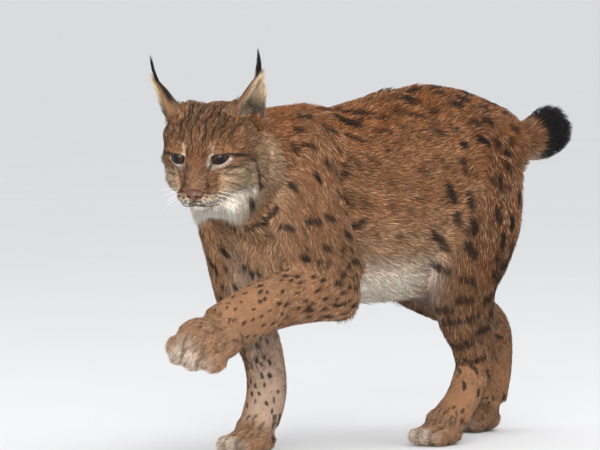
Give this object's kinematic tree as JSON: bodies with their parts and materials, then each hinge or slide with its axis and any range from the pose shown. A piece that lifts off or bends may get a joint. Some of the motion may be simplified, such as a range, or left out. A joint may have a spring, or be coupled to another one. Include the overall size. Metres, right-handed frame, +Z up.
{
  "type": "eurasian lynx figure",
  "caption": "Life-size still figure of a Eurasian lynx walking with one forepaw raised, for display",
  "frame": {"origin": "middle of the bounding box on the floor plane", "axes": "+Z up; the animal faces -X, so the length runs along X; its left side is -Y"},
  "size_m": [1.0329, 0.2845, 0.6817],
  "materials": {
    "coat_back": "dense winter fur, rufous brown with dark spots",
    "coat_head": "short fur, brown above and cream below",
    "coat_legs": "short dense fur with dark spots",
    "coat_paws": "short pale fur",
    "coat_ears": "short fur, dark behind and at the tips",
    "coat_tail_tip": "black fur",
    "eye": "wet gloss",
    "nose_leather": "matt bare skin"
  },
  "bodies": {
    "root": {"neck": "coat_back", "chest": "coat_back", "belly": "coat_back", "rump": "coat_back", "tail_root": "coat_back", "head": "coat_head", "foreleg_left_lower": "coat_legs", "foreleg_left_upper": "coat_legs", "foreleg_right_lower": "coat_legs", "foreleg_right_upper": "coat_legs", "hock_left": "coat_legs", "hock_right": "coat_legs", "shank_left": "coat_legs", "shank_right": "coat_legs", "thigh_left": "coat_legs", "thigh_right": "coat_legs", "paw_front_left": "coat_paws", "paw_front_right": "coat_paws", "paw_hind_left": "coat_paws", "paw_hind_right": "coat_paws", "ear_left": "coat_ears", "ear_right": "coat_ears", "tail_tip": "coat_tail_tip", "eye_left": "eye", "eye_right": "eye", "nose": "nose_leather"}
  },
  "joints": []
}
